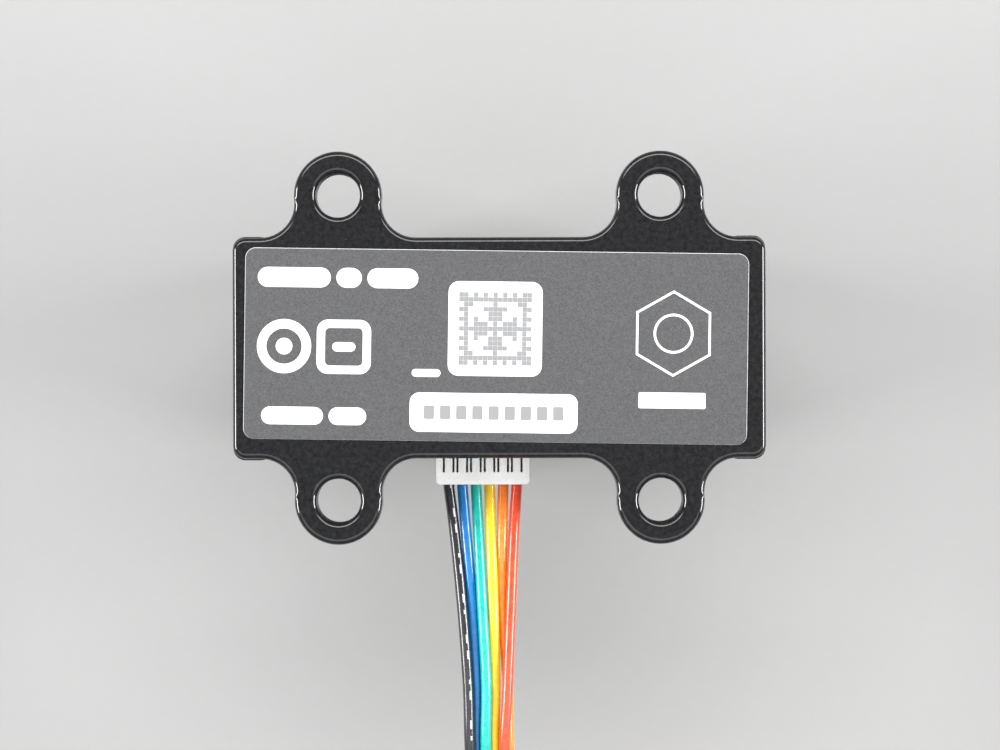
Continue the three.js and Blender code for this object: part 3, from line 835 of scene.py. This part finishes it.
def barrel_bore(side):
    """One barrel's bore: a chamfered mouth, the lens seat, a shoulder and a narrowing chamber."""
    bore, chamber, window, chamfer = 8.2, 7.2, 5.5, 0.25  # the first three are radii
    shoulder = LENS_HIGH.z + 0.05
    narrowing, narrowed = shoulder + 3, BOX_FRONT - 2
    points = [
        (0, -PAST),
        (bore + chamfer, -PAST),
        (bore + chamfer, 0),
        (bore, chamfer),
        (bore, shoulder),
        (chamber, shoulder),
        (chamber, narrowing),
        (window, narrowed),
        (window, FLOOR_REAR + PAST),
        (0, FLOOR_REAR + PAST),
    ]
    return lathe("bore", points, side * BARREL_X)


def screw_boss(x, y):
    """A post that takes a cover screw, from the box's floor to the cover."""
    foot, top, hole_end, radius = FLOOR_REAR - PAST, COVER_FRONT, 31, 1.9
    points = [(0, foot), (radius, foot), (radius, top), (SCREW_R, top), (SCREW_R, hole_end), (0, hole_end)]
    return lathe("boss", points, x, y, count=32)


def front_housing():
    """A box open to the rear, two barrels, a web between them and a window for the plug."""
    rear_r, front_r, hollow_r, small_r = 0.15, 0.5, 0.8, 0.2
    shell = plate("front_housing_shell", box_outline, BOX_FRONT, COVER_FRONT, rear_r, front_r)
    inner = rounded_rectangle(2 * (HALF_LONG - WALL), 2 * (HALF_TALL - WALL), hollow_r)
    hollow = plate("hollow", inner, FLOOR_REAR, COVER_FRONT + PAST)
    boolean(shell, "DIFFERENCE", hollow)
    web_x, web_y, web_tall = BARREL_X - 7, 0.9, 6
    web_low, web_high = (-web_x, -web_y, BOX_FRONT - web_tall), (web_x, web_y, BOX_FRONT + PAST)
    web = block("web", web_low, web_high, small_r)
    bosses = [screw_boss(x, y) for x, y in SCREW_PLACES]
    boolean(shell, "UNION", web, *bosses, *[barrel_outside(side) for side in SIDES])
    gap = 0.3  # round the plug
    past_wall = 0.2
    low = (PLUG_LOW.x - gap, -HALF_TALL - PAST, PLUG_LOW.z - gap)
    high = (PLUG_HIGH.x + gap, -HALF_TALL + WALL + past_wall, PLUG_HIGH.z + gap)
    window = block("window", low, high, small_r)
    boolean(shell, "DIFFERENCE", window, *[barrel_bore(side) for side in SIDES])
    smooth(shell)
    return finished(shell, MODULE, "gloss_black_plastic", ["front_housing"])


# ---- Optics ----


def lens(name, side):
    """A polished plano-convex lens, its edge chamfered at the back."""
    curve_r = 13
    radius = (LENS_HIGH.x - LENS_LOW.x) / 2
    steps = 18
    edge = math.asin(radius / curve_r)
    dome = []
    for step in range(steps + 1):
        angle = edge * step / steps
        dome.append((curve_r * math.sin(angle), LENS_LOW.z + curve_r * (1 - math.cos(angle))))
    chamfer = 0.12
    back = [(radius, LENS_HIGH.z - chamfer), (radius - chamfer, LENS_HIGH.z), (0, LENS_HIGH.z)]
    obj = smooth(lathe(f"{name}_lens_glass", dome + back, side * BARREL_X, count=96), 30)
    return finished(obj, MODULE, "lens_glass", [f"{name}_lens"])


def lens_ring(name, side):
    """The ring that holds a lens, its inner edges sloped and its front face notched for a spanner."""
    outer = (RING_HIGH.x - RING_LOW.x) / 2
    inner = outer - 1.32
    front, back = RING_LOW.z, RING_HIGH.z
    front_slope, back_slope = (0.35, 0.45), (0.4, 0.6)  # each one's run outwards and along
    points = [
        (inner, front + front_slope[1]),
        (inner + front_slope[0], front),
        (outer, front),
        (outer, back),
        (inner + back_slope[0], back),
        (inner, back - back_slope[1]),
    ]
    x = side * BARREL_X
    section = filleted(points, [0.1, 0.1, 0.15, 0, 0, 0.1], steps=3)
    ring = lathe(f"{name}_lens_ring_turned", section, x, closed=True)
    notch_x, notch_y, notch_deep = 9, 0.6, 0.7
    notch_low, notch_high = (x - notch_x, -notch_y, front - PAST), (x + notch_x, notch_y, front + notch_deep)
    boolean(ring, "DIFFERENCE", block("notch", notch_low, notch_high))
    smooth(ring, 35)
    return finished(ring, MODULE, "matt_black_plastic", [f"{name}_lens_ring"])


# ---- Label ----


def label_point(x, y):
    """A place on the label, given from its middle along its own sides."""
    cos, sin = math.cos(LABEL_TURN), math.sin(LABEL_TURN)
    return LABEL_X + x * cos - y * sin, LABEL_Y + x * sin + y * cos


def on_label(outline, x=0.0, y=0.0):
    """An outline moved to a place on the label and turned with it."""
    return lambda inset: [label_point(x + px, y + py) for px, py in outline(inset)]


def rear_label():
    """The label: a white film, and a grey coat that stops just short of its cut edges. The lighter band of
    film round the coat is partly the film's real cut edge and partly a painted highlight, widest along the
    top edge, where the key light falls.
    """
    # The coat is shifted down, so the lighter film band is widest along the top edge: a painted highlight
    # where the key light catches the cut edge.
    short_x, short_y, highlight_shift_y = 0.1, 0.07, -0.02
    film = on_label(rounded_rectangle(LABEL_LONG, LABEL_TALL, 0.95, steps=10))
    coat_shape = rounded_rectangle(LABEL_LONG - short_x, LABEL_TALL - short_y, 0.9, steps=10)
    coat = on_label(coat_shape, 0, highlight_shift_y)
    film_high, edge_r = LABEL_HIGH.z - 2 * INK, 0.02
    base = smooth(plate("rear_label_film", film, REAR, film_high, edge_r))
    finished(base, MODULE, "label_print", ["rear_label"], look="label_edge_painted_highlight")
    top = smooth(plate("rear_label_coat", coat, film_high, LABEL_HIGH.z - INK))
    return finished(top, MODULE, "label_grey")


def inked(name, outlines, slot="label_print", layer=1):
    """Flat printed areas, a hair thicker than the film that they are printed on."""
    low = LABEL_HIGH.z - INK + (layer - 1) * INK / 2
    parts = [plate(name, outline, low, low + INK / 2) for outline in outlines]
    return finished(joined(name, parts), MODULE, slot)


def bar(x, y, long, tall, radius=None):
    """A rounded bar on the label, by its middle."""
    radius = min(long, tall) / 2 - LEAST_R if radius is None else radius
    return on_label(rounded_rectangle(long, tall, radius, steps=6), x, y)


def disc(radius, x, y):
    """A round area on the label, by its middle."""
    return on_label(lambda inset: [point[:2] for point in circle(0, 0, 0, radius - inset, 48)], x, y)


def ink_frame(name, outer, inner):
    """A printed closed band between two outlines of the same number of points."""
    bm = bmesh.new()
    low, high = LABEL_HIGH.z - INK, LABEL_HIGH.z - INK / 2
    rings = []
    for outline, z in ((outer, low), (outer, high), (inner, high), (inner, low)):
        rings.append(ring_of(bm, [(x, y, z) for x, y in outline(0)]))
    bridge_all(bm, [*rings, rings[0]])
    return mesh_object(name, bm)


# The middles of the ornament tile, of the plate with blocks and of the nut, along the label's own sides.
TILE_X, TILE_Y = -0.1, 1.56
PLATE_X, PLATE_Y = -0.15, -6.04
NUT_X, NUT_Y = 16.0, 1.34


def mosaic():
    """Square cells of an ornament that is the same in all eight directions and says nothing."""
    half, pitch, corner_r = 7, 0.44, 0.03
    size = pitch * 0.97
    share = 0.56  # of the cells are printed
    random.seed(11)
    lit = {}
    for row in range(half + 1):
        for column in range(row + 1):
            lit[row, column] = random.random() < share
    cells = []
    for row in range(-half, half + 1):
        for column in range(-half, half + 1):
            if lit[max(abs(row), abs(column)), min(abs(row), abs(column))]:
                cells.append(bar(TILE_X + column * pitch, TILE_Y + row * pitch, size, size, corner_r))
    return cells


def label_print():
    """Plain printed shapes: bars, a ring, a frame, an ornament, a plate with blocks and a nut."""
    inked("label_bars", [
        bar(-18.3, 6.0, 6.6, 1.8),
        bar(-13.35, 6.0, 2.3, 1.8),
        bar(-9.4, 6.0, 4.6, 1.8),
        bar(-18.35, -6.5, 5.6, 1.6),
        bar(-13.35, -6.5, 3.4, 1.6),
        bar(-6.29, -2.5, 2.6, 0.7),
        bar(15.95, -4.71, 6.05, 1.44, 0.12),
    ])
    inked("label_plates", [
        bar(TILE_X, TILE_Y, 8.5, 8.55, 0.95),
        bar(PLATE_X, PLATE_Y, 15.17, 3.55, 0.85),
    ])
    ring_x, frame_x, mark_y = -19.15, -13.75, -0.24
    inked("label_dots", [disc(0.75, ring_x, mark_y), bar(frame_x, mark_y, 2.1, 0.85)])
    bands = [
        ink_frame("ring", disc(2.45, ring_x, mark_y), disc(1.6, ring_x, mark_y)),
        ink_frame("frame", bar(frame_x, mark_y, 4.9, 4.9, 1.0), bar(frame_x, mark_y, 3.4, 3.4, 0.4)),
        ink_frame("nut", nut(3.9), nut(3.66)),
        ink_frame("bore", disc(1.8, NUT_X, NUT_Y), disc(1.58, NUT_X, NUT_Y)),
    ]
    finished(joined("label_bands", bands), MODULE, "label_print")

    pitch, count = 1.46, 9
    blocks = [bar(PLATE_X + (i - (count - 1) / 2) * pitch, PLATE_Y, 0.95, 1.25, 0.15) for i in range(count)]
    inked("label_grey_marks", mosaic() + blocks, "label_grey_print", layer=2)


def nut(reach):
    """A hexagon on the label, by the distance from its middle to a corner."""
    turns = [math.pi / 6 + math.pi / 3 * i for i in range(6)]
    corners = [(NUT_X + reach * math.cos(turn), NUT_Y + reach * math.sin(turn)) for turn in turns]
    return on_label(lambda inset: corners)


# ---- Plug ----


def plug_housing():
    """The plug: round rear corners, a latch lever below, a cavity for every wire, two slits over each."""
    low, high = PLUG_LOW, PLUG_HIGH
    middle_x = (low.x + high.x) / 2
    corner_r, edge_r, root_r = 0.42, 0.12, 0.1
    body_low = 31.3
    long, deep = high.x - low.x, PLUG_TIP - low.y
    outline = rounded_rectangle(long, deep, corner_r, middle_x, (low.y + PLUG_TIP) / 2, steps=6)
    body = plate("plug_shell", outline, body_low, high.z, edge_r, edge_r, steps=4)
    left, right = middle_x - 2.2, middle_x + 2.2
    lever_z, lever_high, root_high = low.z + 0.05, 30.95, 31.6
    lever_y, root_y, latch_end = low.y + 0.6, PLUG_TIP - 1.6, PLUG_TIP - 0.8
    lever = block("lever", (left, lever_y, lever_z), (right, latch_end, lever_high), edge_r)
    root = block("root", (left, root_y, lever_z), (right, latch_end, root_high), root_r)
    boolean(body, "UNION", lever, root)
    cavity_x, cavity_z = 0.51, 0.75  # half its width and half its height
    slit_middle, slit_half, slit_y = 0.44, 0.1, low.y + 1.14
    cuts = []
    for way in range(WAYS):
        x = middle_x + (way - (WAYS - 1) / 2) * PITCH
        cavity_low = (x - cavity_x, low.y - PAST, WIRE_Z - cavity_z)
        cuts.append(block("cavity", cavity_low, (x + cavity_x, high.y + PAST, WIRE_Z + cavity_z)))
        for side in SIDES:
            slit_x = x + side * slit_middle
            slit_high = (slit_x + slit_half, high.y + PAST, high.z + PAST)
            cuts.append(block("slit", (slit_x - slit_half, slit_y, WIRE_Z), slit_high))
    boolean(body, "DIFFERENCE", *cuts)
    smooth(body, 35)
    return finished(body, HARNESS, "nylon_white", ["plug_housing"])


# ---- Wires ----


def curve_through(places, steps):
    """A smooth line through places: a centripetal Catmull-Rom curve, with the places among its points."""
    ends = [2 * places[0] - places[1], *places, 2 * places[-1] - places[-2]]
    line = []
    for p0, p1, p2, p3 in zip(ends, ends[1:], ends[2:], ends[3:]):
        t1 = (p1 - p0).length ** 0.5
        t2 = t1 + (p2 - p1).length ** 0.5
        t3 = t2 + (p3 - p2).length ** 0.5
        for step in range(steps):
            t = t1 + (t2 - t1) * step / steps
            a1 = p0.lerp(p1, t / t1)
            a2 = p1.lerp(p2, (t - t1) / (t2 - t1))
            a3 = p2.lerp(p3, (t - t2) / (t3 - t2))
            b1 = a1.lerp(a2, t / t2)
            b2 = a2.lerp(a3, (t - t1) / (t3 - t1))
            line.append(b1.lerp(b2, (t - t1) / (t2 - t1)))
    line.append(places[-1])
    return line


def direction_at(points, index):
    """A line's direction at one of its points."""
    return (points[min(index + 1, len(points) - 1)] - points[max(index - 1, 0)]).normalized()


def bundle_places():
    """The middle line with the coil's turns, and the direction at each place."""
    free = [Vector(place) for place in BUNDLE]
    coil = []
    for step in range(1, COIL_TURNS * COIL_PLACES):
        turn = step / COIL_PLACES
        angle = -2 * math.pi * turn
        radius = COIL_START - COIL_PITCH * turn
        x, y = COIL_X + radius * math.cos(angle), COIL_Y + radius * math.sin(angle)
        coil.append(Vector((x, y, COIL_Z)))
    places = free + coil
    return places, [direction_at(places, index) for index in range(len(places))]


def wire_path(colour, places, directions):
    """One wire's line, from inside its cavity in the plug to its far end."""
    offsets = WIRES[colour]
    points = []
    for index, (place, along) in enumerate(zip(places, directions)):
        right, high = offsets[min(index, len(offsets) - 1)]
        across = Vector((0, 0, 1)).cross(along).normalized()
        above = along.cross(across)
        points.append(place + right * across + high * above)
    line = curve_through(points, 6)
    inside = 1.6  # how far the wire reaches into its cavity
    first = Vector((line[0].x, line[0].y + inside, WIRE_Z))
    line.insert(0, first)
    return cut_to(line, WIRE_LENGTH + inside)


def cut_to(line, length):
    """The start of a line, of just this length."""
    out, walked = [line[0]], 0
    for last, following in zip(line, line[1:]):
        step = (following - last).length
        if walked + step >= length:
            out.append(last.lerp(following, (length - walked) / step))
            return out
        out.append(following)
        walked += step
    raise ValueError("the line is shorter than that")


def length_of(line):
    """A line's length."""
    return sum((following - last).length for last, following in zip(line, line[1:]))


def frames_along(line):
    """A direction, a side and a top at each point of a line, turning as little as they can."""
    out = []
    side = Vector((1, 0, 0))
    for index in range(len(line)):
        along = direction_at(line, index)
        side = (side - along * side.dot(along)).normalized()
        out.append((along, side, along.cross(side)))
    return out


def around(point, axes, angles, radius):
    """Points at these angles round a point of a line."""
    _, side, top = axes
    return [point + radius * (math.cos(angle) * side + math.sin(angle) * top) for angle in angles]


def tube(name, line, radius, count=20, round_end=0.12):
    """A round tube along a line, its ends a little rounded."""
    bm = bmesh.new()
    frames = frames_along(line)
    sections = [(line[0], frames[0], radius - round_end)]
    sections.append((line[0] + frames[0][0] * round_end, frames[0], radius))
    sections += [(point, axes, radius) for point, axes in zip(line[1:-1], frames[1:-1])]
    sections.append((line[-1] - frames[-1][0] * round_end, frames[-1], radius))
    sections.append((line[-1], frames[-1], radius - round_end))
    angles = [2 * math.pi * i / count for i in range(count)]
    rings = [ring_of(bm, around(point, axes, angles, size)) for point, axes, size in sections]
    bridge_all(bm, rings)
    bm.faces.new(rings[0])
    bm.faces.new(rings[-1])
    return smooth(mesh_object(name, bm), 60)


def split_line(line, length):
    """A line in two, the first part of this length."""
    first = cut_to(line, length)
    rest = [first[-1].copy()]
    rest += line[len(first) - 1:]
    return first, rest


def wires():
    """Six skins with their tinned tips. The black one also stands for the coil."""
    places, directions = bundle_places()
    for index, colour in enumerate(WIRES):
        line = wire_path(colour, places, directions)
        whole = length_of(line)
        skin_line, core_line = split_line(line, whole - TIP_LENGTH)
        skin = tube(f"wire_{colour}_skin", skin_line, WIRE_R)
        core_line.insert(0, skin_line[-2])
        core = tube(f"wire_{colour}_tip", core_line, CORE_R, 12, 0.1)
        stands_for = [f"wire_{colour}"] + (["wire_coil"] if index == 0 else [])
        finished(skin, HARNESS, f"wire_{colour}", stands_for)
        finished(core, HARNESS, "tinned_metal")


def marks_on_black():
    """Short plain dashes printed along the black wire."""
    places, directions = bundle_places()
    line = wire_path("black", places, directions)
    frames = frames_along(line)
    distances = [0.0]
    for last, following in zip(line, line[1:]):
        distances.append(distances[-1] + (following - last).length)

    def at(distance):
        """The point at a distance along the wire, and the frame there."""
        index = max(i for i, value in enumerate(distances) if value <= distance)
        index = min(index, len(line) - 2)
        share = (distance - distances[index]) / (distances[index + 1] - distances[index])
        return line[index].lerp(line[index + 1], share), frames[index]

    distance, last_end = 1.2, 60
    gap, short_gap, dash, short_dash = 1.9, 0.35, 0.8, 0.5  # the short ones are shares of the others
    lift = 0.006  # how far the ink stands out of the skin, and reaches into it
    lean, spread = math.radians(-22), math.radians(20)
    steps, across = 3, 6
    angles = [math.pi / 2 + lean + spread * (i / across - 0.5) for i in range(across + 1)]
    bm = bmesh.new()
    number = 0
    while distance + dash < last_end:
        length = dash if number % 3 else short_dash * dash
        rings = []
        for step in range(steps + 1):
            point, axes = at(distance + length * step / steps)
            outer = around(point, axes, angles, WIRE_R + lift)
            inner = around(point, axes, angles[::-1], WIRE_R - lift)
            rings.append(ring_of(bm, outer + inner))
        bridge_all(bm, rings)
        bm.faces.new(rings[0])
        bm.faces.new(rings[-1])
        distance += length + gap * (short_gap if number % 2 else 1)
        number += 1
    obj = mesh_object("wire_black_dashes", bm)
    return finished(obj, HARNESS, "label_grey_print", look="wire_print")


def main():
    camera()
    floor()
    lights()
    dress_nodes()
    rear_cover()
    front_housing()
    for name, side in (("emitter", 1), ("receiver", -1)):
        lens(name, side)
        lens_ring(name, side)
    rear_label()
    label_print()
    plug_housing()
    wires()
    marks_on_black()


main()
